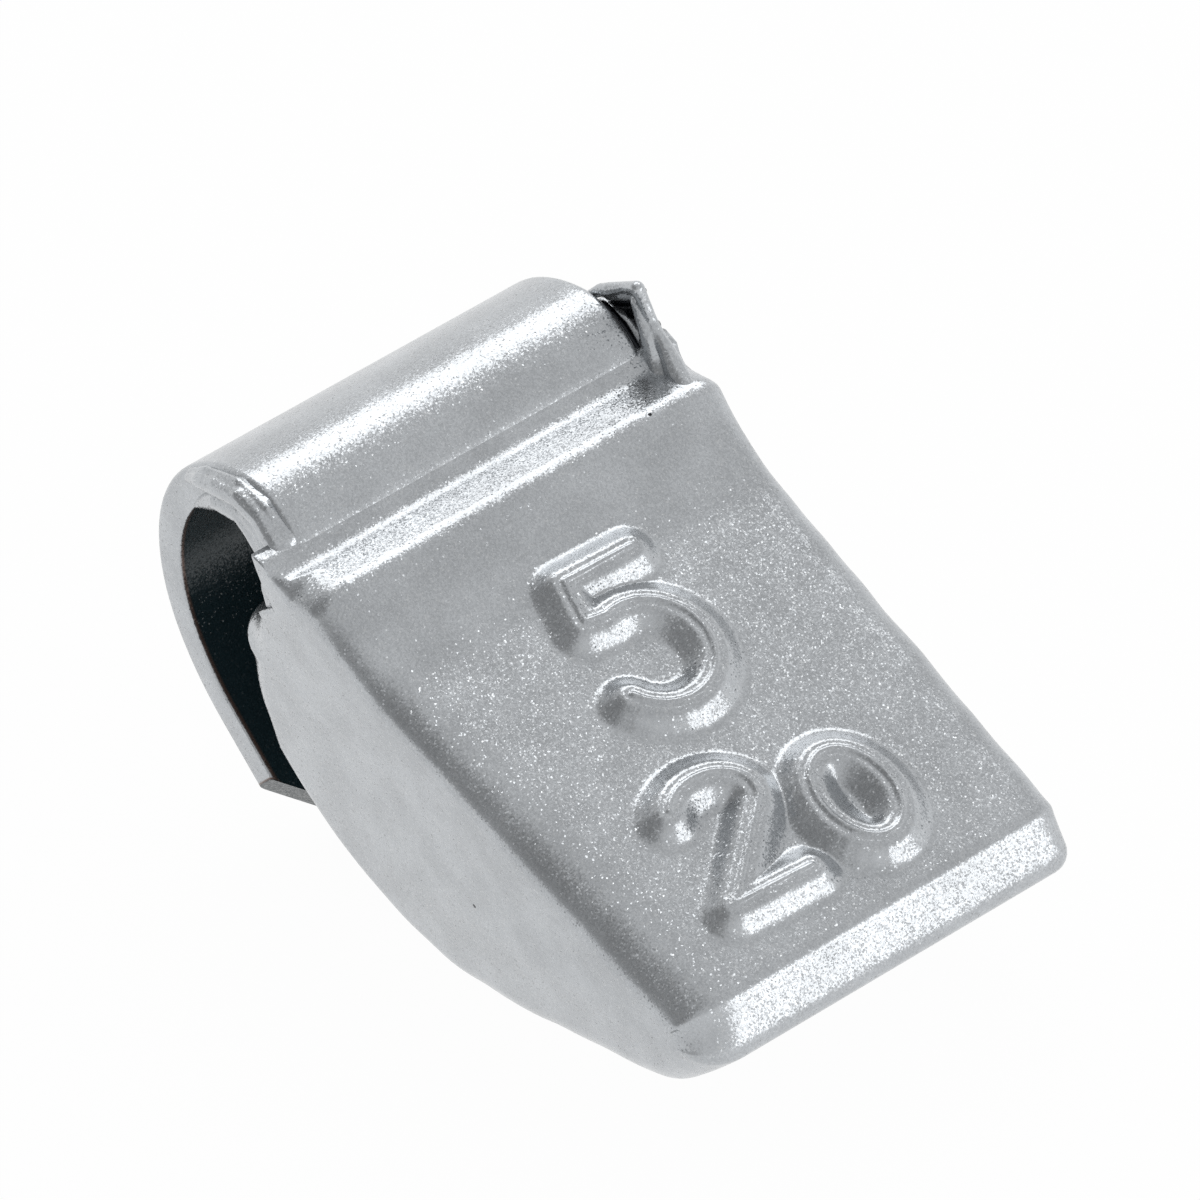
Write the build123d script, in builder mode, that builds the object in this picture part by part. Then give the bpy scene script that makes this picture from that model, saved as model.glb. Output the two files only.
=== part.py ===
"""Clip-on wheel balance weight: a zinc weight cast round one leg of a spring steel clip.

Both pieces are drawn in one section frame. Section x runs along the flat front face,
from the clip to the lower edge, and section y points out of that face. The frame is
tilted so that the weight lies at rest on Z = 0, on its convex back and on the end of
the clip's free leg. X runs along the wheel's rim.
"""
import os
from math import acos, asin, atan2, cos, degrees, hypot, radians, sin, tan

from build123d import *

os.makedirs("parts", exist_ok=True)

# Spring clip, one bent strip: sizes along its outer surface
strip_width = 8.3
strip_thickness = 0.75
held_length = 4.6  # straight leg held inside the casting
held_direction = 120.0  # that leg's direction in the section, towards the nose
held_exit = (-0.54, -0.25)  # where it leaves the casting and the nose begins
nose_radius = 1.7  # tight bend out of the casting
nose_turn = 90.0
hook_radius = 4.15  # bend over the edge of the rim
hook_turn = 104.0
leg_radius = 5.2  # gentle bend above the foot
leg_turn = 20.0
foot_length = 3.0  # straight end of the free leg
foot_corner = 1.5  # corners cut off the foot
held_corner = 0.8  # corners cut off the held leg
key_hole_diameter = 2.4  # cast metal runs through this hole and keys the clip
key_hole_distance = 2.4  # from the end of the held leg to the hole

# Cast body in section
body_length = 12.38  # to the lower edge
crest_place = 0.2  # top of the rounded shoulder, along the face
crest_height = 0.6  # and above it
crest_radius = 0.9
flare_radius = 4.5  # the face sweeps up to the shoulder
bevel_run = 0.9
bevel_drop = 0.82
belly_center = (3.37, -0.51)
belly_radius = 6.37  # convex back
lower_edge_height = 2.0  # end below the bevel
lower_edge_undercut = 1.1  # it slopes back this far
lip_radius = 2.5
heel_angle = 232.5  # where the wall that faces the free leg leaves the belly
heel_slope = 120.0
heel_length = 3.0
heel_radius = 1.5
back_top_slope = 56.0  # top of the casting inside the hook
valley_angle = 47.0  # where the shoulder meets the nose
edge_radius = 0.4

# Cast body across its width
width_at_shoulder = 9.89
width_at_lower_edge = 9.1
width_at_back = 8.56
draft_allowance = 0.5  # metal outside the drafted sides, before they are cut
side_round = 0.4

# Casting flash at the clip's two ends
web_angle = 37.0  # middle of the web, seen from the nose's centre
web_offset = 0.58
web_radius = 1.05
web_thickness = 0.35
web_reach = 2.1  # the film follows the clip's end this far from the nose's centre
horn_height = 0.68  # above the nose
horn_lean = 0.35  # from the nose's centre towards the face
horn_tip_width = 0.4
horn_root_angle = 106.0
horn_run = 0.35  # from the valley up the shoulder to the horn's root
horn_flank_radius = 1.3
horn_thickness = 0.5
flash_round = 0.12


def polar(center, radius, angle):
    """Point of the section at an angle and a distance from another point."""
    return (center[0] + radius * cos(radians(angle)), center[1] + radius * sin(radians(angle)))


# Clip section: outer surface from the held end to the foot, then its inner offset
held_end = polar(held_exit, held_length, held_direction + 180)
nose_center = polar(held_exit, nose_radius, held_direction + 90)
with BuildSketch() as clip_section:
    with BuildLine():
        held_leg = Line(held_end, held_exit)
        nose = JernArc(held_leg @ 1, held_leg % 1, nose_radius, nose_turn)
        hook = JernArc(nose @ 1, nose % 1, hook_radius, hook_turn)
        free_leg = JernArc(hook @ 1, hook % 1, leg_radius, leg_turn)
        foot = Line(free_leg @ 1, free_leg @ 1 + foot_length * (free_leg % 1))
        offset(amount=strip_thickness, side=Side.LEFT)
    make_face()
foot_tip = tuple(foot @ 1)[:2]
foot_direction = held_direction + nose_turn + hook_turn + leg_turn

# Body section: shoulder, crest, flare, face, bevel, tail, belly, heel and the top inside the hook
valley = polar(nose_center, nose_radius, valley_angle)
crest_center = (crest_place, crest_height - crest_radius)
to_crest = (crest_center[0] - valley[0], crest_center[1] - valley[1])
shoulder_slope = degrees(atan2(to_crest[1], to_crest[0]) + asin(crest_radius / hypot(*to_crest)))
both_radii = crest_radius + flare_radius
flare_slope = degrees(acos(1 - crest_height / both_radii))
flare_end = crest_place + both_radii * sin(radians(flare_slope))
lip = (body_length - lower_edge_undercut, -bevel_drop - lower_edge_height)
to_lip = (lip[0] - belly_center[0], lip[1] - belly_center[1])
tail_slope = degrees(atan2(to_lip[1], to_lip[0]) + asin(belly_radius / hypot(*to_lip)))
tail_start = polar(belly_center, belly_radius, tail_slope - 90)
heel = polar(belly_center, belly_radius, heel_angle)
heel_top = polar(heel, heel_length, heel_slope)
strip_middle = nose_radius - strip_thickness / 2
under_nose = polar(nose_center, strip_middle, 10)
back_top_rise = (under_nose[0] - heel_top[0]) * tan(radians(back_top_slope))
with BuildSketch() as body_section:
    with BuildLine():
        crest = CenterArc(crest_center, crest_radius, shoulder_slope + 90, -shoulder_slope - flare_slope)
        flare = RadiusArc(crest @ 1, (flare_end, 0), -flare_radius)
        face = Line(flare @ 1, (body_length - bevel_run, 0))
        bevel = Line(face @ 1, (body_length, -bevel_drop))
        lower_edge = Line(bevel @ 1, lip)
        tail = Line(lower_edge @ 1, tail_start)
        belly = CenterArc(belly_center, belly_radius, tail_slope - 90, heel_angle - 270 - tail_slope)
        wall = Line(belly @ 1, heel_top)
        back_top = Line(wall @ 1, (under_nose[0], heel_top[1] + back_top_rise))
        clip_seat = Line(back_top @ 1, polar(nose_center, strip_middle, valley_angle))
        shoulder = Polyline(clip_seat @ 1, valley, crest @ 0)
    make_face()
    for corner, radius in (
        (lip, lip_radius),
        (heel, heel_radius),
        (heel_top, edge_radius),
        (bevel @ 0, edge_radius),
        (bevel @ 1, edge_radius),
    ):
        fillet(body_section.vertices().sort_by_distance(corner)[0], radius)

# Rest: the floor touches the foot's tip and is tangent to the belly
to_belly = (belly_center[0] - foot_tip[0], belly_center[1] - foot_tip[1])
floor_angle = atan2(to_belly[1], to_belly[0]) - asin(belly_radius / hypot(*to_belly))
tilted = Plane(origin=(0, 0, 0), x_dir=(0, -cos(floor_angle), -sin(floor_angle)), z_dir=(-1, 0, 0))
clip_box = (tilted * clip_section.sketch).bounding_box()
body_box = (tilted * body_section.sketch).bounding_box()
middle_y = (clip_box.max.Y + body_box.min.Y) / 2
lowest_z = min(clip_box.min.Z, body_box.min.Z)
section_plane = Plane(origin=(0, -middle_y, -lowest_z), x_dir=tilted.x_dir, z_dir=tilted.z_dir)


def at(point, side=0):
    """World point of a section point, at a distance along X from the middle."""
    return section_plane.from_local_coords(Vector(point[0], point[1], -side))


# Spring clip: the bent strip, its cut corners, and the hole that keys it into the casting
key_hole = polar(held_end, key_hole_distance, held_direction)
key_hole_axis = at(polar(key_hole, 1, held_direction + 90)) - at(key_hole)
with BuildPart() as spring_clip:
    with BuildSketch(section_plane):
        add(clip_section.sketch)
    extrude(amount=strip_width / 2, both=True)
    for end, direction, corner_cut in (
        (foot_tip, foot_direction, foot_corner),
        (held_end, held_direction, held_corner),
    ):
        middle_of_end = at(polar(end, strip_thickness / 2, direction + 90))
        end_face = spring_clip.faces().sort_by_distance(middle_of_end)[0]
        chamfer(end_face.edges().sort_by(SortBy.LENGTH)[:2], corner_cut)
    with BuildSketch(Plane(origin=at(key_hole), x_dir=(1, 0, 0), z_dir=key_hole_axis)):
        Circle(key_hole_diameter / 2)
    extrude(amount=strip_thickness, mode=Mode.SUBTRACT)
spring_clip.part.label = "spring_clip"

# Flash web: a film that ran out round the clip's left end
with BuildPart() as flash_web:
    with BuildSketch(section_plane.offset(strip_width / 2)):
        add(clip_section.sketch)
        with Locations(nose_center):
            Circle(web_reach, mode=Mode.INTERSECT)
        with Locations(polar(nose_center, web_offset, web_angle)):
            Circle(web_radius)
    extrude(amount=web_thickness)
    fillet(flash_web.faces().sort_by(Axis.X)[0].edges(), flash_round)

# Flash horn: a fin pulled up past the nose at the clip's right end
nose_top = polar(nose_center, nose_radius, 90)
horn_tip = (nose_top[0] + horn_lean, nose_top[1] + horn_height)
horn_root = polar(valley, horn_run, shoulder_slope)
with BuildPart() as flash_horn:
    with BuildSketch(section_plane.offset(-strip_width / 2)):
        with BuildLine():
            tip = Line(
                (horn_tip[0] - horn_tip_width / 2, horn_tip[1]),
                (horn_tip[0] + horn_tip_width / 2, horn_tip[1]),
            )
            flank = RadiusArc(tip @ 1, horn_root, horn_flank_radius)
            Polyline(
                flank @ 1,
                under_nose,
                polar(nose_center, strip_middle, horn_root_angle),
                polar(nose_center, nose_radius, horn_root_angle),
                tip @ 0,
            )
        make_face()
    extrude(amount=-horn_thickness)
    fillet(flash_horn.faces().sort_by(Axis.X)[-1].edges(), flash_round)

# Cast body: the section, its drafted and rounded sides, the flash, and the clip's seat
with BuildPart() as cast_body:
    with BuildSketch(section_plane):
        add(body_section.sketch)
    extrude(amount=width_at_shoulder / 2 + draft_allowance, both=True)
    for side in (-1, 1):
        shoulder_corner = at((0, 0), side * width_at_shoulder / 2)
        lower_corner = at((body_length, 0), side * width_at_lower_edge / 2)
        back_corner = at(polar(belly_center, belly_radius, -90), side * width_at_back / 2)
        outward = side * (lower_corner - shoulder_corner).cross(back_corner - shoulder_corner)
        split(bisect_by=Plane(origin=shoulder_corner, z_dir=outward), keep=Keep.BOTTOM)
    for side_face in (cast_body.faces().sort_by(Axis.X)[0], cast_body.faces().sort_by(Axis.X)[-1]):
        outline = side_face.edges().sort_by_distance(at((body_length / 2, 0)))[0]
        fillet(outline, side_round)
    add(flash_web.part)
    add(flash_horn.part)
    add(spring_clip.part, mode=Mode.SUBTRACT)
cast_body.part.label = "cast_body"

for piece in (spring_clip, cast_body):
    export_step(piece.part, f"parts/{piece.part.label}.step")
    print(piece.part.label, round(piece.part.volume, 2), "mm3")
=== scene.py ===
"""Looks of a clip-on wheel balance weight, coated in silver flake paint.

Sizes are in millimetres in the section's own frame, and meshes end in metres in the
part's frame. Along the section, a runs down the flat front face from the shoulder to the
lower edge, and b points out of that face. X runs along the wheel's rim.
"""

import logging
import math
from collections.abc import Callable
from dataclasses import dataclass, field
from enum import Enum

import bmesh
import bpy
from mathutils import Matrix, Vector, noise


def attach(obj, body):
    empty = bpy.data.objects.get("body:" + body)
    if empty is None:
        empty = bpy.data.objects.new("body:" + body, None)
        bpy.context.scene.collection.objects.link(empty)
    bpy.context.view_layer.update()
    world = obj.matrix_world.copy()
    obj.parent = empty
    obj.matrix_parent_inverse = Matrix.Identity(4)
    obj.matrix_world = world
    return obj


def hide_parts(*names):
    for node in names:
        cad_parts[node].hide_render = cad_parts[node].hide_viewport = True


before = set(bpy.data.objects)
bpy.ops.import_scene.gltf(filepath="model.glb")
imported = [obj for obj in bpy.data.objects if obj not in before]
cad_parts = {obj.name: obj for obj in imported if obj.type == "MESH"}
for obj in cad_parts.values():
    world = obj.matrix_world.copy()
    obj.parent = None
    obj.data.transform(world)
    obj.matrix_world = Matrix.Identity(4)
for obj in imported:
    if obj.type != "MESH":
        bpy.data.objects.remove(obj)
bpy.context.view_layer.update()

LOG = logging.getLogger("balance_weight")
MM = 0.001
Point = tuple[float, float]
Color = tuple[float, float, float]

# Centres of the clip's two upper bends, in the section's frame
NOSE: Point = (-2.012, -1.1)
HOOK: Point = (-0.787, -3.222)


def polar(center: Point, radius: float, angle: float) -> Point:
    """Point at an angle in degrees and a distance from another point."""
    turn = math.radians(angle)
    return (center[0] + radius * math.cos(turn), center[1] + radius * math.sin(turn))


def smooth(value: float) -> float:
    """Smooth step of a value that is held between 0 and 1."""
    value = min(max(value, 0.0), 1.0)
    return value * value * (3 - 2 * value)


def mix(start: float, end: float, share: float) -> float:
    """Value between start and end."""
    return start + (end - start) * share


@dataclass(frozen=True)
class SectionFrame:
    """The tilted frame in which both pieces are drawn, as the weight lies at rest."""

    origin_y: float = 2.561
    origin_z: float = 8.055
    tilt: float = 21.02

    def place(self, x: float, a: float, b: float) -> Vector:
        """Point of the part's frame, in metres.

        Args:
            x: Distance along the rim from the middle.
            a: Distance down the front face.
            b: Distance out of the front face.

        Returns:
            The same point in the part's frame.
        """
        cosine, sine = math.cos(math.radians(self.tilt)), math.sin(math.radians(self.tilt))
        return Vector(
            (x, self.origin_y - a * cosine - b * sine, self.origin_z - a * sine + b * cosine)
        ) * MM

    def matrix(self) -> Matrix:
        """Matrix from (x, a, b) in millimetres to the part's frame in metres."""
        origin = self.place(0, 0, 0)
        columns = [self.place(*axis) - origin for axis in ((1, 0, 0), (0, 1, 0), (0, 0, 1))]
        turned = Matrix([[column[row] for column in columns] for row in range(3)]).to_4x4()
        turned.translation = origin
        return turned


SECTION = SectionFrame()


class Profile:
    """Closed or open line of the section, with rounded corners."""

    def __init__(self) -> None:
        """Starts an empty line."""
        self.corners: list[tuple[Point, float]] = []

    def corner(self, point: Point, radius: float = 0.0) -> "Profile":
        """Adds a corner with its rounding radius."""
        self.corners.append((point, radius))
        return self

    def arc(self, center: Point, radius: float, start: float, end: float, count: int) -> "Profile":
        """Adds the points of an arc, its ends included.

        Args:
            center: Centre of the arc.
            radius: Radius of the arc.
            start: Angle of its first point in degrees.
            end: Angle of its last point in degrees.
            count: Number of steps.

        Returns:
            This profile.
        """
        for step in range(count + 1):
            self.corner(polar(center, radius, mix(start, end, step / count)))
        return self

    def points(self, corner_steps: int = 6) -> list[Point]:
        """Points of the closed line with its corners rounded.

        Args:
            corner_steps: Number of steps round each corner.

        Returns:
            The points in order, with the first not repeated.
        """
        found: list[Point] = []
        total = len(self.corners)
        for index, (here, radius) in enumerate(self.corners):
            if radius <= 0:
                found.append(here)
                continue
            before = Vector(self.corners[index - 1][0]) - Vector(here)
            after = Vector(self.corners[(index + 1) % total][0]) - Vector(here)
            half = before.angle(after) / 2
            reach = radius / math.tan(half)
            middle = (before.normalized() + after.normalized()).normalized()
            center = Vector(here) + middle * (radius / math.sin(half))
            first = Vector(here) + before.normalized() * reach - center
            last = Vector(here) + after.normalized() * reach - center
            turn = first.angle_signed(last)
            for step in range(corner_steps + 1):
                spoke = first.copy()
                spoke.rotate(Matrix.Rotation(-turn * step / corner_steps, 2))
                found.append(tuple(center + spoke))
        return found


def spaced(points: list[Point], spacing: Callable[[Point], float]) -> list[Point]:
    """Walks a closed line and sets points on it at a spacing that may vary.

    Args:
        points: The closed line.
        spacing: Gives the step length at a point.

    Returns:
        Points along the line, with the first not repeated.
    """
    walked: list[Point] = []
    for index, here in enumerate(points):
        after = points[(index + 1) % len(points)]
        span = math.dist(here, after)
        if span < 1e-6:
            continue
        middle = ((here[0] + after[0]) / 2, (here[1] + after[1]) / 2)
        count = max(1, round(span / spacing(middle)))
        walked += [
            (mix(here[0], after[0], step / count), mix(here[1], after[1], step / count))
            for step in range(count)
        ]
    return walked


def inward_normals(points: list[Point], reach: int) -> list[Vector]:
    """Directions into a closed line, averaged over neighbouring points.

    Args:
        points: The closed line, walked clockwise about its inside.
        reach: Number of neighbours on each side.

    Returns:
        One unit direction per point.
    """
    total = len(points)
    plain = []
    for index in range(total):
        span = Vector(points[(index + 1) % total]) - Vector(points[index - 1])
        plain.append(Vector((span.y, -span.x)).normalized())
    found = []
    for index in range(total):
        added = Vector((0.0, 0.0))
        for other in range(-reach, reach + 1):
            added += plain[(index + other) % total]
        found.append(added.normalized())
    return found


def to_object(name: str, mesh: bmesh.types.BMesh, sharp: float | None = None) -> bpy.types.Object:
    """Makes a smooth shaded object from a bmesh in the section's frame.

    Args:
        name: Name of the object.
        mesh: The bmesh, in millimetres along x, a and b. It is freed.
        sharp: Angle in degrees above which an edge stays sharp.

    Returns:
        The object, with its place in its mesh.
    """
    bmesh.ops.transform(mesh, matrix=SECTION.matrix(), verts=mesh.verts)
    bmesh.ops.recalc_face_normals(mesh, faces=mesh.faces)
    data = bpy.data.meshes.new(name)
    mesh.to_mesh(data)
    mesh.free()
    for polygon in data.polygons:
        polygon.use_smooth = True
    if sharp is not None:
        data.set_sharp_from_angle(angle=math.radians(sharp))
    piece = bpy.data.objects.new(name, data)
    bpy.context.scene.collection.objects.link(piece)
    return piece


# Shared shader effects


@dataclass(frozen=True)
class Socket:
    """One input or output of a node group."""

    name: str
    kind: str = "NodeSocketFloat"
    value: float | tuple[float, ...] | None = None


class NodeTree:
    """Short-hand for building a node tree."""

    def __init__(self, tree: bpy.types.NodeTree) -> None:
        """Takes the tree that is built."""
        self.tree = tree

    def node(
        self, kind: str, inputs: dict[str | int, object] | None = None, **settings: object
    ) -> bpy.types.Node:
        """Adds a node.

        Args:
            kind: The node's type.
            inputs: Values or source sockets by input name or number.
            settings: Properties of the node.

        Returns:
            The new node.
        """
        made = self.tree.nodes.new(kind)
        for name, value in settings.items():
            setattr(made, name, value)
        for name, value in (inputs or {}).items():
            if isinstance(value, bpy.types.NodeSocket):
                self.tree.links.new(value, made.inputs[name])
            else:
                made.inputs[name].default_value = value
        return made

    def math(self, operation: str, *values: object, clamp: bool = False) -> bpy.types.NodeSocket:
        """Adds a math node and gives its result."""
        made = self.node("ShaderNodeMath", dict(enumerate(values)), operation=operation, use_clamp=clamp)
        return made.outputs[0]

    def blend(self, share: object, first: object, second: object) -> bpy.types.NodeSocket:
        """Adds a colour mix and gives its result."""
        made = self.node("ShaderNodeMix", {0: share, 6: first, 7: second}, data_type="RGBA")
        return made.outputs[2]

    def ramp(
        self, value: object, low: float, high: float, start: float = 0.0, end: float = 1.0
    ) -> bpy.types.NodeSocket:
        """Adds a clamped smooth map of a value from low..high to start..end."""
        made = self.node(
            "ShaderNodeMapRange",
            {0: value, 1: low, 2: high, 3: start, 4: end},
            interpolation_type="SMOOTHSTEP",
        )
        return made.outputs[0]


def node_group(
    name: str, inputs: list[Socket], outputs: list[Socket]
) -> tuple[NodeTree, bpy.types.Node, bpy.types.Node]:
    """Starts a shader node group.

    Args:
        name: Name of the group.
        inputs: Its inputs, with their default values.
        outputs: Its outputs.

    Returns:
        The tree, and its input and output nodes.
    """
    group = bpy.data.node_groups.new(name, "ShaderNodeTree")
    for socket in inputs:
        made = group.interface.new_socket(name=socket.name, in_out="INPUT", socket_type=socket.kind)
        if socket.value is not None:
            made.default_value = socket.value
    for socket in outputs:
        group.interface.new_socket(name=socket.name, in_out="OUTPUT", socket_type=socket.kind)
    tree = NodeTree(group)
    return tree, tree.node("NodeGroupInput"), tree.node("NodeGroupOutput")


def flake_paint_group() -> bpy.types.NodeTree:
    """Builds the shared paint effect: metal flakes, mottling, dust specks and orange peel.

    Returns:
        The node group.
    """
    tree, entry, leave = node_group(
        "flake_paint",
        [
            Socket("Paint", "NodeSocketColor", (0.3, 0.32, 0.34, 1)),
            Socket("Flake size", value=0.045),
            Socket("Flake tilt", value=0.12),
            Socket("Stray tilt", value=0.6),
            Socket("Sparkle", value=0.3),
            Socket("Specks", value=1.0),
            Socket("Peel", value=0.2),
        ],
        [Socket("Color", "NodeSocketColor"), Socket("Roughness"), Socket("Normal", "NodeSocketVector")],
    )
    place = tree.node("ShaderNodeTexCoord").outputs["Object"]
    geometry = tree.node("ShaderNodeNewGeometry").outputs["Normal"]
    density = tree.math("DIVIDE", 1000.0, entry.outputs["Flake size"])
    flakes = tree.node("ShaderNodeTexVoronoi", {"Vector": place, "Scale": density}, feature="F1")
    tilt = tree.node(
        "ShaderNodeVectorMath", {0: flakes.outputs["Color"], 1: (0.5, 0.5, 0.5)}, operation="SUBTRACT"
    ).outputs[0]
    coarse = tree.node(
        "ShaderNodeTexNoise", {"Vector": place, "Scale": 900.0, "Detail": 3.0, "Roughness": 0.55}
    ).outputs[0]
    parts = tree.node("ShaderNodeSeparateColor", {0: flakes.outputs["Color"]})
    stray = tree.math("GREATER_THAN", parts.outputs[0], 0.9)
    swing = tree.math("MULTIPLY_ADD", stray, entry.outputs["Stray tilt"], entry.outputs["Flake tilt"])
    tilted = tree.node("ShaderNodeVectorMath", {0: tilt, 3: swing}, operation="SCALE").outputs[0]
    leaning = tree.node("ShaderNodeVectorMath", {0: geometry, 1: tilted}, operation="ADD").outputs[0]
    straight = tree.node("ShaderNodeVectorMath", {0: leaning}, operation="NORMALIZE").outputs[0]
    peel = tree.node(
        "ShaderNodeBump",
        {"Strength": entry.outputs["Peel"], "Distance": 0.00002, "Height": coarse, "Normal": straight},
    ).outputs[0]
    bright = tree.math("GREATER_THAN", parts.outputs[1], 0.94)
    glint = tree.math("MULTIPLY", bright, entry.outputs["Sparkle"])
    shade = tree.ramp(coarse, 0.3, 0.7, 0.93, 1.07)
    grain = tree.math("MULTIPLY_ADD", parts.outputs[2], 0.24, 0.88)
    toned = tree.node(
        "ShaderNodeVectorMath",
        {0: entry.outputs["Paint"], 3: tree.math("MULTIPLY", shade, grain)},
        operation="SCALE",
    ).outputs[0]
    sparkled = tree.blend(glint, toned, (0.95, 0.95, 0.93, 1))
    dots = tree.node("ShaderNodeTexVoronoi", {"Vector": place, "Scale": 700.0}, feature="F1")
    chance = tree.node("ShaderNodeSeparateColor", {0: dots.outputs["Color"]}).outputs[2]
    near = tree.math("LESS_THAN", dots.outputs["Distance"], 0.035)
    rare = tree.math("GREATER_THAN", chance, 0.9)
    speck = tree.math("MULTIPLY", tree.math("MULTIPLY", near, rare), entry.outputs["Specks"])
    final = tree.blend(speck, sparkled, (0.02, 0.02, 0.025, 1))
    rough = tree.math("MULTIPLY_ADD", parts.outputs[2], 0.12, 0.165)
    tree.tree.links.new(final, leave.inputs["Color"])
    tree.tree.links.new(rough, leave.inputs["Roughness"])
    tree.tree.links.new(peel, leave.inputs["Normal"])
    return tree.tree


@dataclass(frozen=True)
class PaintFinish:
    """Silver flake paint over raw metal; a mask turns it to dark steel colour, which is also painted shade
    inside the clip's hook and on its cut faces.
    """

    name: str
    color: Color
    metallic: float = 0.85
    sparkle: float = 0.14
    flake_size: float = 0.03
    flake_tilt: float = 0.15
    stray_tilt: float = 0.35
    specks: float = 1.0
    peel: float = 0.3
    coat: float = 0.15
    coat_roughness: float = 0.25
    # Metal and colour where the mask is full: dark raw steel, also painted shade inside the clip's hook
    # and on its cut faces.
    steel_and_shade_metallic: float = 0.2
    steel_and_shade: Color = (0.012, 0.026, 0.032)
    stain: Color = (0.16, 0.1, 0.08)

    def build(self, group: bpy.types.NodeTree) -> bpy.types.Material:
        """Makes the material.

        Args:
            group: The shared paint effect.

        Returns:
            The material.
        """
        material = bpy.data.materials.new(self.name)
        material.use_nodes = True
        tree = NodeTree(material.node_tree)
        shader = material.node_tree.nodes["Principled BSDF"]
        paint = tree.node("ShaderNodeGroup", node_tree=group)
        values = {
            "Paint": (*self.color, 1),
            "Flake size": self.flake_size,
            "Flake tilt": self.flake_tilt,
            "Stray tilt": self.stray_tilt,
            "Sparkle": self.sparkle,
            "Specks": self.specks,
            "Peel": self.peel,
        }
        for name, value in values.items():
            paint.inputs[name].default_value = value
        # The mask darkens the paint through a brownish stain to dark steel: painted shade inside the
        # clip's hook and on its cut faces, with raw steel colour.
        steel_and_shade = tree.node("ShaderNodeAttribute", attribute_name="steel_and_shade_mask").outputs["Fac"]
        stained = tree.blend(tree.ramp(steel_and_shade, 0.0, 0.4), paint.outputs["Color"], (*self.stain, 1))
        color = tree.blend(tree.ramp(steel_and_shade, 0.3, 0.8), stained, (*self.steel_and_shade, 1))
        tree.tree.links.new(color, shader.inputs["Base Color"])
        drop = self.metallic * (self.steel_and_shade_metallic - 1)
        metallic = tree.math("MULTIPLY_ADD", steel_and_shade, drop, self.metallic)
        tree.tree.links.new(metallic, shader.inputs["Metallic"])
        tree.tree.links.new(paint.outputs["Roughness"], shader.inputs["Roughness"])
        tree.tree.links.new(paint.outputs["Normal"], shader.inputs["Normal"])
        shader.inputs["Coat Weight"].default_value = self.coat
        shader.inputs["Coat Roughness"].default_value = self.coat_roughness
        return material


class Figure(Enum):
    """Plain figures that the face can carry."""

    TWO = "2"
    FIVE = "5"
    ZERO = "0"


@dataclass(frozen=True)
class Stroke:
    """Centre line of a raised stroke, in millimetres along x and a."""

    points: tuple[Point, ...]

    def distance(self, x: float, a: float) -> float:
        """Distance from a point of the face to the stroke's centre line."""
        nearest = math.inf
        for start, end in zip(self.points, self.points[1:]):
            run, rise = end[0] - start[0], end[1] - start[1]
            share = ((x - start[0]) * run + (a - start[1]) * rise) / (run * run + rise * rise)
            share = min(max(share, 0.0), 1.0)
            nearest = min(nearest, math.dist((x, a), (start[0] + share * run, start[1] + share * rise)))
        return nearest


def curve(center: Point, radius: Point, start: float, end: float, count: int = 12) -> list[Point]:
    """Points of an arc of an ellipse, with angles measured from +x towards +a."""
    return [
        (
            center[0] + radius[0] * math.cos(math.radians(mix(start, end, step / count))),
            center[1] + radius[1] * math.sin(math.radians(mix(start, end, step / count))),
        )
        for step in range(count + 1)
    ]


@dataclass
class RaisedFigures:
    """Plain figures that stand proud of the front face, with soft flanks under the paint.

    A stroke is a flat land with a fine bead along its middle and a groove on each side of the
    bead, and its flank falls smoothly to the face.
    """

    height: float = 0.38
    land: float = 0.12
    flank: float = 0.72
    bead: float = 0.05
    bead_width: float = 0.05
    groove: float = 0.02
    groove_offset: float = 0.115
    groove_width: float = 0.045
    shapes: dict[Figure, list[Stroke]] = field(default_factory=dict)

    def __post_init__(self) -> None:
        """Lays out the strokes on the face."""
        five = [
            Stroke(((-0.45, 2.5), (1.14, 2.54))),
            Stroke(((-0.45, 2.5), (-0.68, 3.45))),
            Stroke(tuple([(-0.68, 3.45), *curve((0.05, 4.7), (1.13, 1.22), -105, 152, 22)])),
        ]
        two = [
            Stroke(tuple([*curve((-1.2, 8.1), (0.92, 0.7), -152, 28, 14), (-2.25, 10.1)])),
            Stroke(((-2.25, 10.1), (-0.5, 10.2))),
        ]
        zero = [Stroke(tuple(curve((1.25, 9.35), (0.74, 1.08), 0, 360, 28)))]
        self.shapes = {Figure.FIVE: five, Figure.TWO: two, Figure.ZERO: zero}

    def rise(self, x: float, a: float) -> float:
        """Height of the figures above the flat face at a point of it."""
        strokes = [stroke for group in self.shapes.values() for stroke in group]
        away = min(stroke.distance(x, a) for stroke in strokes)
        if away >= self.flank:
            return 0.0
        lift = self.height * smooth((self.flank - away) / (self.flank - self.land))
        ridge = self.bead * math.exp(-((away / self.bead_width) ** 2))
        cut = self.groove * math.exp(-(((away - self.groove_offset) / self.groove_width) ** 2))
        return lift + ridge - cut


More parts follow.
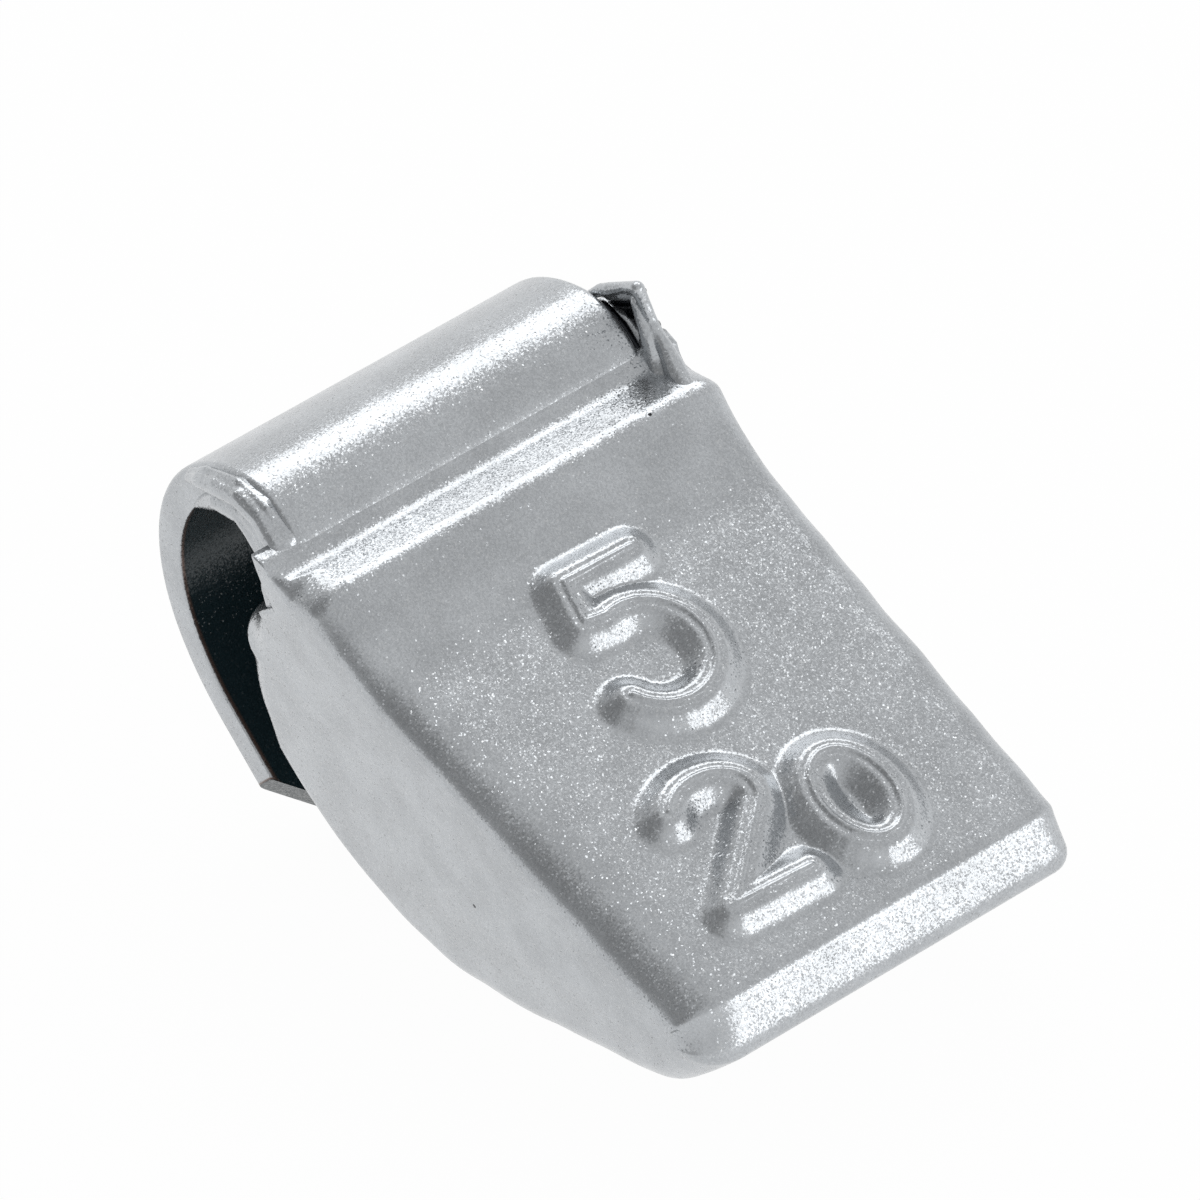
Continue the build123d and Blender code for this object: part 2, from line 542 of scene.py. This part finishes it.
@dataclass
class CastBody:
    """The zinc casting: shoulder, flat face, bevel, convex back and heel."""

    length: float = 12.38
    crest_place: float = 0.45
    crest_height: float = 0.6
    crest_radius: float = 0.6
    crest_front_radius: float = 0.5
    flare_radius: float = 5.0
    bevel_run: float = 0.9
    bevel_drop: float = 0.82
    edge_radius: float = 0.35
    lower_edge_height: float = 2.0
    lower_edge_undercut: float = 1.1
    lip_radius: float = 2.5
    belly_center: Point = (3.37, -0.51)
    belly_radius: float = 6.37
    tail_start: float = -55.65
    heel_angle: float = -127.5
    heel_top: Point = (-2.008, -2.966)
    heel_top_radius: float = 0.4
    under_nose: Point = (-0.707, -0.87)
    clip_seat: Point = (-1.25, -0.015)
    under_valley: Point = (-1.36, 0.2)
    nose_radius: float = 1.7
    shoulder_slope: float = 27.0
    valley_radius: float = 0.5
    half_width: float = 4.945
    taper_down: float = -0.032
    taper_out: float = 0.081
    figure_rows: Point = (1.6, 11.2)
    figure_columns: Point = (-3.0, 2.75)
    figure_reach: float = 3.1
    flat_reach: float = 4.3
    fine_step: float = 0.042
    coarse_step: float = 0.13
    side_step: float = 0.11
    edge_wave: float = 0.12
    wave_scale: float = 0.9
    front_fade: float = 1.8
    left_back_round: float = 0.62
    left_front_rounds: Point = (0.9, 1.45)
    left_flatness: float = 0.58
    right_rounds: Point = (0.3, 0.7)
    right_flatness: float = 0.65
    heel_extra_round: float = 0.4
    nose_end: Point = (-0.4, -1.5)
    nose_end_rounds: Point = (0.05, 0.3)
    nose_end_fade: float = 0.7
    right_end_extra: Point = (0.45, 0.1)
    left_steps: int = 10
    right_steps: int = 7
    figures: RaisedFigures = field(default_factory=RaisedFigures)

    def valley(self) -> tuple[Point, float, float]:
        """Paint and metal that round off the corner between the clip's nose and the shoulder.

        Returns:
            Centre of the rounding, and the angles of its ends on the nose and on the shoulder.
        """
        crest = (self.crest_place, self.crest_height - self.crest_radius)
        above = polar(crest, self.crest_radius + self.valley_radius, self.shoulder_slope + 90)
        away = (above[0] - NOSE[0], above[1] - NOSE[1])
        along = polar((0, 0), 1, self.shoulder_slope)
        run = away[0] * along[0] + away[1] * along[1]
        reach = self.nose_radius + self.valley_radius
        back = run - math.sqrt(run * run - math.hypot(*away) ** 2 + reach * reach)
        center = polar(above, -back, self.shoulder_slope)
        on_nose = math.degrees(math.atan2(NOSE[1] - center[1], NOSE[0] - center[0]))
        return center, on_nose, self.shoulder_slope - 90

    def outline(self) -> list[Point]:
        """Rounded section of the casting, from the crest down the face and round the back."""
        both_radii = self.crest_front_radius + self.flare_radius
        crest = (self.crest_place, self.crest_height - self.crest_radius)
        crest_front = (self.crest_place, self.crest_height - self.crest_front_radius)
        flare_slope = math.degrees(math.acos(1 - self.crest_height / both_radii))
        flare_end = self.crest_place + both_radii * math.sin(math.radians(flare_slope))
        line = Profile().arc(crest, self.crest_radius, self.shoulder_slope + 90, 90, 12)
        line.arc(crest_front, self.crest_front_radius, 88, 90 - flare_slope, 8)
        line.arc((flare_end, self.flare_radius), self.flare_radius, -90 - flare_slope, -90, 14)
        line.corner((self.length - self.bevel_run, 0), self.edge_radius)
        line.corner((self.length, -self.bevel_drop), self.edge_radius)
        lip = (self.length - self.lower_edge_undercut, -self.bevel_drop - self.lower_edge_height)
        line.corner(lip, self.lip_radius)
        line.arc(self.belly_center, self.belly_radius, self.tail_start, self.heel_angle, 24)
        line.corner(self.heel_top, self.heel_top_radius)
        line.corner(self.under_nose)
        line.corner(self.clip_seat)
        line.corner(self.under_valley)
        center, on_nose, on_shoulder = self.valley()
        return line.arc(center, self.valley_radius, on_nose, on_shoulder, 8).points()

    def spacing(self, point: Point) -> float:
        """Step along the section at a point: fine where the figures stand."""
        return self.fine_step if self.carries_figures(point) else self.coarse_step

    def carries_figures(self, point: Point) -> bool:
        """Tells whether the figures may reach a point of the section."""
        first, last = self.figure_rows
        return first < point[0] < last and point[1] > -0.02

    def half_width_at(self, a: float, b: float) -> float:
        """Half of the casting's width, which its drafted sides narrow downwards and back."""
        return self.half_width + self.taper_down * a + self.taper_out * b

    def rounding(self, point: Point, side: int) -> tuple[float, float]:
        """Rounding of a side's edge at a point of the section.

        Args:
            point: The point of the section.
            side: -1 for the left end and 1 for the right end.

        Returns:
            The rounding's length along X and its depth into the casting.
        """
        a, b = point
        front = smooth((b + self.front_fade) / self.front_fade)
        down = smooth(a / self.length)
        if a < self.nose_end[0] and b > self.nose_end[1]:
            from_nose = a - self.nose_end[0] + self.nose_end_fade
            tucked = mix(*self.nose_end_rounds, smooth(from_nose / self.nose_end_fade))
            wider, deeper = self.right_end_extra
            return (tucked, tucked) if side < 0 else (tucked + wider, tucked + deeper)
        wave = noise.noise(Vector((a * self.wave_scale, b * self.wave_scale, side))) * self.edge_wave
        if side < 0:
            heel = smooth((-1.0 - a) / 0.8) * smooth((-1.5 - b) / 0.8)
            back_round = self.left_back_round + self.heel_extra_round * heel
            wide = mix(back_round, mix(*self.left_front_rounds, down), front) + wave
            return wide, wide * mix(1.0, self.left_flatness, front)
        wide = mix(*self.right_rounds, front) + wave
        return wide, wide * mix(1.0, self.right_flatness, front)

    def columns(self) -> list[tuple[float, float]]:
        """Places across the width, as a share of the flat part and an angle of the rounding."""
        reach = self.flat_reach
        first, last = self.figure_columns
        bands = (
            (-reach, first, self.side_step),
            (first, last, self.fine_step),
            (last, reach, self.side_step),
        )
        found = [(0.0, mix(90.0, 0.0, step / self.left_steps)) for step in range(self.left_steps)]
        for start, end, step in bands:
            count = round((end - start) / step)
            places = [mix(start, end, index / count) for index in range(count)]
            found += [((place + reach) / (2 * reach), 0.0) for place in places]
        for step in range(self.right_steps + 1):
            found.append((1.0, mix(0.0, 90.0, step / self.right_steps)))
        return found

    def shape(self) -> bmesh.types.BMesh:
        """Wraps a grid round the section, closes its ends and raises the figures.

        Returns:
            The casting's mesh in the section's frame.
        """
        rows = spaced(self.outline(), self.spacing)
        inward = inward_normals(rows, 9)
        columns = self.columns()
        mesh = bmesh.new()
        bmesh.ops.create_grid(mesh, x_segments=len(columns) - 1, y_segments=len(rows), size=1)
        for vertex in mesh.verts:
            column = round((vertex.co.x + 1) / 2 * (len(columns) - 1))
            row = round((vertex.co.y + 1) / 2 * len(rows)) % len(rows)
            vertex.co = self.wrap(rows[row], inward[row], *columns[column])
        bmesh.ops.remove_doubles(mesh, verts=mesh.verts, dist=0.0005)
        bmesh.ops.holes_fill(mesh, edges=[edge for edge in mesh.edges if edge.is_boundary], sides=0)
        return mesh

    def wrap(self, point: Point, inward: Vector, share: float, angle: float) -> Vector:
        """Place of one grid point on the casting.

        Args:
            point: Its point of the section.
            inward: The direction into the casting there.
            share: Its share of the way across the flat part.
            angle: Its angle in degrees round the edge of a side.

        Returns:
            The place along x, a and b.
        """
        left_wide, left_deep = self.rounding(point, -1)
        right_wide, right_deep = self.rounding(point, 1)
        half = self.half_width_at(*point)
        turn = math.radians(angle)
        x = mix(-half + left_wide, half - right_wide, share)
        settled = Vector(point)
        if angle > 0:
            side, wide, deep = (-1, left_wide, left_deep) if share == 0 else (1, right_wide, right_deep)
            settled += inward * deep * (1 - math.cos(turn))
            x += (wide * math.sin(turn) + self.half_width_at(*settled) - half) * side
        rise = 0.0
        if self.carries_figures(point) and abs(x) < self.figure_reach:
            rise = self.figures.rise(x, point[0])
        return Vector((x, settled.x, settled.y + rise))

    def build(self, paint: bpy.types.Material) -> list[bpy.types.Object]:
        """Makes the casting's objects.

        Args:
            paint: Material of the casting.

        Returns:
            The objects.
        """
        piece = to_object("casting", self.shape())
        piece.data.materials.append(paint)
        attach(piece, "root")
        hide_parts("cast_body")
        return [piece]


@dataclass
class SpringClip:
    """The bent strip that grips the rim's edge."""

    width: float = 8.3
    thickness: float = 0.75
    exit_point: Point = (-0.54, -0.25)
    nose_radius: float = 1.7
    hook_radius: float = 4.15
    leg_radius: float = 5.2
    nose_turn: float = 90.0
    hook_turn: float = 104.0
    leg_turn: float = 20.0
    exit_angle: float = 30.0
    foot_length: float = 3.0
    foot_corner: float = 1.5
    outer_round: float = 0.13
    inner_round: float = 0.05
    line_insets: tuple[float, ...] = (0.0, 0.18, 0.3, 0.45, 0.9, 2.4)
    bend_step: float = 3.0
    # Width over which the inside of the strip darkens from its edges: dark steel colour that is also
    # painted shade in the hook's hollow.
    dark_fade: float = 0.16
    foot_spare: float = 0.3
    cut_edge: float = 0.05
    # Darkness painted on the foot's cut faces: raw steel colour that is also painted shade where they face
    # the shaded floor.
    cut_darkness: float = 0.75

    def across(self) -> list[float]:
        """Places of the strip's lengthwise lines, from its left edge to its right edge."""
        half = self.width / 2
        left = [inset - half for inset in self.line_insets]
        return left + [-place for place in reversed(left)]

    def strip(self) -> bmesh.types.BMesh:
        """Bends a rounded strip through its three arcs and ends it in a straight foot.

        Returns:
            The strip's mesh in the section's frame.
        """
        mesh = bmesh.new()
        nose = polar(self.exit_point, self.nose_radius, self.exit_angle + 180)
        places = self.across()
        bmesh.ops.create_grid(mesh, x_segments=len(places) - 1, y_segments=1, size=0.5)
        for vertex in mesh.verts:
            column = round((vertex.co.x + 0.5) * (len(places) - 1))
            vertex.co = (places[column], vertex.co.y * self.thickness, 0)
        for side, radius in ((1, self.outer_round), (-1, self.inner_round)):
            corners = [
                vertex for vertex in mesh.verts
                if vertex.co.y * side > self.thickness * 0.49 and abs(vertex.co.x) > self.width * 0.499
            ]
            bmesh.ops.bevel(
                mesh, geom=corners, offset=radius, offset_type="OFFSET", affect="VERTICES",
                segments=4, profile=0.5, material=-1, clamp_overlap=True,
            )
        # The inside of the strip is painted dark, fading in from its edges: raw steel colour that is also
        # painted shade in the hook's hollow.
        steel_and_shade_mask = mesh.verts.layers.float.new("steel_and_shade_mask")
        for vertex in mesh.verts:
            inside = vertex.co.y < self.inner_round - self.thickness / 2 + 0.001
            from_edge = self.width / 2 - abs(vertex.co.x)
            vertex[steel_and_shade_mask] = smooth(from_edge / self.dark_fade) if inside else 0.0
        middle = self.nose_radius - self.thickness / 2
        bmesh.ops.transform(mesh, matrix=Matrix.Translation((0, middle, 0)), verts=mesh.verts)
        bmesh.ops.transform(
            mesh,
            matrix=Matrix.Translation((0, *nose)) @ Matrix.Rotation(math.radians(self.exit_angle), 4, "X"),
            verts=mesh.verts,
        )
        angle, center = self.exit_angle, nose
        ring = list(mesh.verts) + list(mesh.edges) + list(mesh.faces)
        for radius, turn, before in (
            (self.nose_radius, self.nose_turn, self.nose_radius),
            (self.hook_radius, self.hook_turn, self.nose_radius),
            (self.leg_radius, self.leg_turn, self.hook_radius),
        ):
            center = polar(center, radius - before, angle + 180)
            spun = bmesh.ops.spin(
                mesh, geom=ring, cent=(0, *center), axis=(1, 0, 0), dvec=(0, 0, 0),
                angle=math.radians(turn), steps=max(4, round(turn / self.bend_step)),
                use_merge=False, use_duplicate=False,
            )
            ring = spun["geom_last"]
            angle += turn
        straight = Vector((0, *polar((0, 0), self.foot_length, angle + 90)))
        spare = straight.normalized() * self.foot_spare
        pulled = bmesh.ops.extrude_face_region(
            mesh, geom=[part for part in ring if isinstance(part, bmesh.types.BMFace)]
        )
        moved = [part for part in pulled["geom"] if isinstance(part, bmesh.types.BMVert)]
        bmesh.ops.translate(mesh, vec=straight + spare, verts=moved)
        self.cut_foot(mesh, Vector((0, *polar(center, self.leg_radius, angle))) + straight, straight)
        return mesh

    def cut_foot(self, mesh: bmesh.types.BMesh, tip: Vector, along: Vector) -> None:
        """Cuts the foot to length and cuts its two corners off, and paints the cut faces dark: raw steel
        colour that is also painted shade where they face the shaded floor.

        Args:
            mesh: The strip's mesh.
            tip: Middle of the foot's outer end edge.
            along: Direction of the foot.
        """
        forward = along.normalized()
        corner = tip - forward * self.foot_corner
        cuts = [(tip, forward)]
        for side in (-1, 1):
            outward = Vector((side, 0, 0))
            cuts.append((corner + outward * self.width / 2, (forward + outward).normalized()))
        steel_and_shade_mask = mesh.verts.layers.float["steel_and_shade_mask"]
        for through, normal in cuts:
            for place, cleared in ((through - normal * self.cut_edge, False), (through, True)):
                geometry = list(mesh.verts) + list(mesh.edges) + list(mesh.faces)
                cut = bmesh.ops.bisect_plane(
                    mesh, geom=geometry, dist=0.0001, plane_co=place, plane_no=normal, clear_outer=cleared
                )
            # The cut faces are painted dark: painted shade, with raw steel colour.
            for part in cut["geom_cut"]:
                if isinstance(part, bmesh.types.BMVert):
                    part[steel_and_shade_mask] = self.cut_darkness
            bmesh.ops.holes_fill(mesh, edges=[edge for edge in mesh.edges if edge.is_boundary], sides=0)

    def build(self, paint: bpy.types.Material) -> list[bpy.types.Object]:
        """Makes the clip's objects.

        Args:
            paint: Material of the clip.

        Returns:
            The objects.
        """
        piece = to_object("clip_strip", self.strip(), sharp=35)
        piece.data.materials.append(paint)
        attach(piece, "root")
        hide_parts("spring_clip")
        return [piece]


@dataclass(frozen=True)
class Bead:
    """One blob of flash, in millimetres in the section's frame."""

    x: float
    a: float
    b: float
    radius: float


@dataclass
class CastingFlash:
    """Metal that ran out round the clip's end, grown from beads that melt into each other."""

    name: str
    chains: tuple[tuple[Bead, ...], ...]
    grain: float = 0.026
    soften: int = 9
    spacing: float = 0.06

    def blobs(self) -> bmesh.types.BMesh:
        """Sets small balls along each chain of beads.

        Returns:
            The balls' mesh in the section's frame.
        """
        mesh = bmesh.new()
        for chain in self.chains:
            for start, end in zip(chain, chain[1:]):
                span = math.dist((start.x, start.a, start.b), (end.x, end.a, end.b))
                count = max(1, round(span / self.spacing))
                for step in range(count + 1):
                    share = step / count
                    place = Matrix.Translation(
                        [mix(getattr(start, axis), getattr(end, axis), share) for axis in "xab"]
                    )
                    bmesh.ops.create_icosphere(
                        mesh, subdivisions=2, radius=mix(start.radius, end.radius, share), matrix=place
                    )
        return mesh

    def build(self, paint: bpy.types.Material) -> list[bpy.types.Object]:
        """Melts the balls into one skin.

        Args:
            paint: Material of the casting.

        Returns:
            The objects.
        """
        piece = to_object(self.name, self.blobs())
        melt = piece.modifiers.new("melt", "REMESH")
        melt.mode = "VOXEL"
        melt.voxel_size = self.grain * MM
        melt.use_smooth_shade = True
        soften = piece.modifiers.new("soften", "SMOOTH")
        soften.factor, soften.iterations = 0.6, self.soften
        piece.data.materials.append(paint)
        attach(piece, "root")
        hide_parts("cast_body")
        return [piece]


def ring(center: Point, radius: float, angle: float, x: float, size: float) -> Bead:
    """Bead on an arc of the clip."""
    return Bead(x, *polar(center, radius, angle), size)


LEFT_WEB = CastingFlash(
    "flash_web",
    (
        (
            ring(HOOK, 3.95, 149, -4.16, 0.08),
            ring(HOOK, 3.88, 140, -4.16, 0.2),
            ring(HOOK, 3.82, 130, -4.16, 0.28),
            ring(NOSE, 1.38, 118, -4.18, 0.3),
            ring(NOSE, 1.38, 90, -4.18, 0.31),
            ring(NOSE, 1.38, 60, -4.18, 0.31),
            ring(NOSE, 1.38, 32, -4.18, 0.31),
        ),
        (
            ring(HOOK, 4.06, 146, -4.2, 0.07),
            ring(HOOK, 4.06, 136, -4.22, 0.1),
            ring(NOSE, 1.62, 118, -4.24, 0.1),
            ring(NOSE, 1.62, 85, -4.25, 0.1),
            ring(NOSE, 1.6, 45, -4.26, 0.12),
        ),
        (
            ring(HOOK, 3.95, 147, -4.24, 0.12),
            ring(HOOK, 3.9, 138, -4.32, 0.19),
            ring(HOOK, 3.86, 128, -4.36, 0.22),
            ring(NOSE, 1.42, 110, -4.37, 0.23),
            ring(NOSE, 1.42, 85, -4.38, 0.23),
            ring(NOSE, 1.4, 60, -4.4, 0.24),
            ring(NOSE, 1.46, 44, -4.44, 0.25),
        ),
        (
            ring(HOOK, 3.42, 158, -4.1, 0.06),
            ring(HOOK, 3.4, 150, -4.14, 0.14),
            ring(HOOK, 3.4, 142, -4.18, 0.2),
            ring(HOOK, 3.44, 134, -4.22, 0.24),
            Bead(-4.24, -2.45, -0.28, 0.28),
            Bead(-4.26, -2.05, -0.3, 0.3),
            Bead(-4.26, -1.6, -0.4, 0.34),
            Bead(-4.28, -1.3, -0.8, 0.36),
        ),
        (
            Bead(-4.3, -2.3, -0.05, 0.22),
            Bead(-4.32, -1.8, -0.05, 0.24),
            Bead(-4.34, -1.4, -0.3, 0.28),
            Bead(-4.36, -1.1, -0.6, 0.32),
            Bead(-4.34, -0.8, -0.8, 0.36),
        ),
        (
            Bead(-4.28, -1.3, -0.8, 0.34),
            Bead(-4.26, -1.3, -1.3, 0.3),
            Bead(-4.22, -1.12, -1.9, 0.26),
        ),
        (Bead(-4.3, -0.9, -1.1, 0.36), Bead(-4.28, -0.9, -1.9, 0.3)),
    ),
)
RIGHT_HORN = CastingFlash(
    "flash_horn",
    (
        (
            Bead(4.22, -2.68, 0.2, 0.1),
            Bead(4.3, -2.5, 0.5, 0.14),
            Bead(4.34, -2.3, 0.72, 0.15),
            Bead(4.42, -2.0, 1.08, 0.12),
            Bead(4.44, -1.7, 1.36, 0.16),
        ),
        (
            Bead(4.44, -1.68, 1.38, 0.15),
            Bead(4.48, -1.45, 1.1, 0.13),
            Bead(4.5, -1.22, 0.85, 0.12),
            Bead(4.5, -0.95, 0.66, 0.13),
            Bead(4.48, -0.62, 0.52, 0.17),
            Bead(4.4, -0.2, 0.36, 0.24),
            Bead(4.34, 0.2, 0.38, 0.2),
        ),
        (
            Bead(4.42, -1.62, 1.0, 0.12),
            Bead(4.44, -1.38, 0.78, 0.18),
            Bead(4.43, -1.08, 0.5, 0.23),
            Bead(4.38, -0.75, 0.12, 0.24),
            Bead(4.3, -0.4, 0.04, 0.26),
        ),
        (Bead(4.35, -2.4, 0.1, 0.16), Bead(4.42, -1.8, 0.25, 0.16), Bead(4.42, -1.1, 0.15, 0.2)),
        (Bead(4.3, -2.5, -0.2, 0.16), Bead(4.35, -1.8, -0.1, 0.2), Bead(4.35, -1.1, -0.2, 0.2)),
        (Bead(4.36, -2.3, 0.5, 0.1), Bead(4.44, -1.75, 1.05, 0.1)),
    ),
)
# A near-black sheet in the hollow behind the right horn: painted shade where the hollow lies in shadow.
HOLLOW_SHADE = CastingFlash(
    "hollow_shade_sheet",
    (
        (Bead(4.5, -2.35, 0.35, 0.1), Bead(4.58, -1.95, 0.85, 0.11), Bead(4.6, -1.7, 1.15, 0.1)),
        (Bead(4.5, -2.25, 0.2, 0.13), Bead(4.58, -1.8, 0.7, 0.14), Bead(4.6, -1.6, 0.95, 0.12)),
        (Bead(4.5, -2.0, 0.1, 0.15), Bead(4.58, -1.6, 0.55, 0.16), Bead(4.6, -1.45, 0.75, 0.14)),
        (Bead(4.5, -1.8, 0.05, 0.16), Bead(4.58, -1.4, 0.4, 0.17), Bead(4.6, -1.2, 0.6, 0.14)),
        (Bead(4.5, -1.5, 0.0, 0.16), Bead(4.58, -1.15, 0.3, 0.16), Bead(4.6, -0.95, 0.42, 0.14)),
        (Bead(4.24, -2.3, 0.3, 0.1), Bead(4.24, -1.7, 0.3, 0.12), Bead(4.24, -1.2, 0.15, 0.12)),
    ),
    soften=3,
)


@dataclass(frozen=True)
class Lamp:
    """A soft studio lamp that looks at the weight."""

    name: str
    azimuth: float
    elevation: float
    distance: float
    size: Point
    power: float

    def build(self, aim: Vector) -> None:
        """Sets the lamp up.

        Args:
            aim: The point that it looks at.
        """
        data = bpy.data.lights.new(self.name, "AREA")
        data.shape = "RECTANGLE"
        data.size, data.size_y = self.size
        data.energy = self.power
        lamp = bpy.data.objects.new(self.name, data)
        turn, lift = math.radians(self.azimuth), math.radians(self.elevation)
        away = Vector((math.cos(lift) * math.cos(turn), math.cos(lift) * math.sin(turn), math.sin(lift)))
        lamp.location = aim + away * self.distance
        lamp.rotation_euler = away.to_track_quat("Z", "Y").to_euler()
        bpy.context.scene.collection.objects.link(lamp)


def background_rays(tree: NodeTree) -> bpy.types.NodeSocket:
    """Gives 1 for the rays that show the white background: camera, glossy and transmission."""
    path = tree.node("ShaderNodeLightPath").outputs
    either = tree.math("MAXIMUM", path["Is Camera Ray"], path["Is Glossy Ray"])
    return tree.math("MAXIMUM", either, path["Is Transmission Ray"])


@dataclass(frozen=True)
class Studio:
    """Pale floor, soft light and the camera at the photograph's angle.

    The camera's place is in millimetres, and the sizes of the floor and the lamps are in metres.
    """

    camera_place: tuple[float, float, float] = (-108.37, -167.183, 161.60)
    camera_look: tuple[float, float, float] = (0.43021, 0.66223, -0.61349)
    camera_right: tuple[float, float, float] = (0.78419, -0.61080, -0.10942)
    lens: float = 398.1
    overhead: float = 0.74
    horizon: float = 1.0
    sky_heights: Point = (0.08, 0.5)
    shade: float = 0.44
    shade_azimuth: float = 165.0
    shade_elevation: float = 33.0
    shade_reach: Point = (0.55, 0.95)
    floor_white: float = 0.97
    floor_color: Color = (0.9, 0.9, 0.9)
    floor_roughness: float = 0.9
    floor_half_size: float = 0.6
    aim_height: float = 0.005
    lamps: tuple[Lamp, ...] = (
        Lamp("back_softbox", 52, 44, 0.25, (0.2, 0.145), 0.165),
        Lamp("front_strip", -64, 10, 0.2, (0.16, 0.04), 0.042),
    )

    def build(self) -> None:
        """Sets up the floor, the world, the lamps and the camera."""
        self.add_floor()
        self.add_world()
        for lamp in self.lamps:
            lamp.build(Vector((0, 0, self.aim_height)))
        self.add_camera()
        bpy.context.scene.view_settings.view_transform = "Standard"

    def add_floor(self) -> None:
        """Adds the floor, which looks white to the camera and keeps the shadow."""
        mesh = bmesh.new()
        bmesh.ops.create_grid(mesh, x_segments=1, y_segments=1, size=self.floor_half_size)
        data = bpy.data.meshes.new("floor")
        mesh.to_mesh(data)
        mesh.free()
        floor = bpy.data.objects.new("floor", data)
        bpy.context.scene.collection.objects.link(floor)
        material = bpy.data.materials.new("pale_floor")
        material.use_nodes = True
        tree = NodeTree(material.node_tree)
        shader = material.node_tree.nodes["Principled BSDF"]
        shader.inputs["Base Color"].default_value = (*self.floor_color, 1)
        shader.inputs["Roughness"].default_value = self.floor_roughness
        white = tree.node("ShaderNodeEmission", {"Color": (1, 1, 1, 1), "Strength": 1.0}).outputs[0]
        share = tree.math("MULTIPLY", background_rays(tree), self.floor_white)
        seen = tree.node("ShaderNodeMixShader", {0: share, 1: shader.outputs[0], 2: white}).outputs[0]
        tree.tree.links.new(seen, material.node_tree.nodes["Material Output"].inputs["Surface"])
        data.materials.append(material)

    def add_world(self) -> None:
        """Adds soft light from all round, pale at the horizon, with a shaded side on the left."""
        world = bpy.data.worlds.new("studio")
        bpy.context.scene.world = world
        world.use_nodes = True
        tree = NodeTree(world.node_tree)
        toward = tree.node("ShaderNodeTexCoord").outputs["Generated"]
        height = tree.node("ShaderNodeSeparateXYZ", {0: toward}).outputs[2]
        lift, turn = math.radians(self.shade_elevation), math.radians(self.shade_azimuth)
        shaded = (math.cos(lift) * math.cos(turn), math.cos(lift) * math.sin(turn), math.sin(lift))
        facing = tree.node(
            "ShaderNodeVectorMath", {0: toward, 1: shaded}, operation="DOT_PRODUCT"
        ).outputs["Value"]
        sky = tree.ramp(height, *self.sky_heights, self.horizon, self.overhead)
        dark = tree.ramp(facing, *self.shade_reach, 1.0, self.shade)
        strength = tree.math("MULTIPLY", sky, dark)
        background = world.node_tree.nodes["Background"]
        tree.tree.links.new(strength, background.inputs["Strength"])
        background.inputs["Color"].default_value = (1, 1, 1, 1)

    def add_camera(self) -> None:
        """Adds the camera."""
        data = bpy.data.cameras.new("camera")
        data.lens = self.lens
        data.sensor_width = 36
        data.clip_start, data.clip_end = 0.01, 10
        camera = bpy.data.objects.new("camera", data)
        look = Vector(self.camera_look).normalized()
        right = Vector(self.camera_right)
        right = (right - look * right.dot(look)).normalized()
        up = right.cross(look)
        axes = Matrix([[right[row], up[row], -look[row]] for row in range(3)]).to_4x4()
        axes.translation = Vector(self.camera_place) * MM
        camera.matrix_world = axes
        bpy.context.scene.collection.objects.link(camera)
        bpy.context.scene.camera = camera


def main() -> None:
    """Builds the weight's pieces and the studio, and reports each piece."""
    logging.basicConfig(level=logging.INFO, format="%(name)s: %(message)s")
    flakes = flake_paint_group()
    paint = PaintFinish("silver_flake_paint", (0.47, 0.49, 0.51)).build(flakes)
    # Near-black finish for the sheet in the hollow behind the right horn: painted shade.
    shade_sheet_finish = PaintFinish("painted_shade_sheet_finish", (0.012, 0.014, 0.018), sparkle=0.0).build(flakes)
    pieces = CastBody().build(paint) + SpringClip().build(paint)
    pieces += LEFT_WEB.build(paint) + RIGHT_HORN.build(paint) + HOLLOW_SHADE.build(shade_sheet_finish)
    for piece in pieces:
        LOG.info("%s: %d faces", piece.name, len(piece.data.polygons))
    Studio().build()


if __name__ == "__main__":
    main()
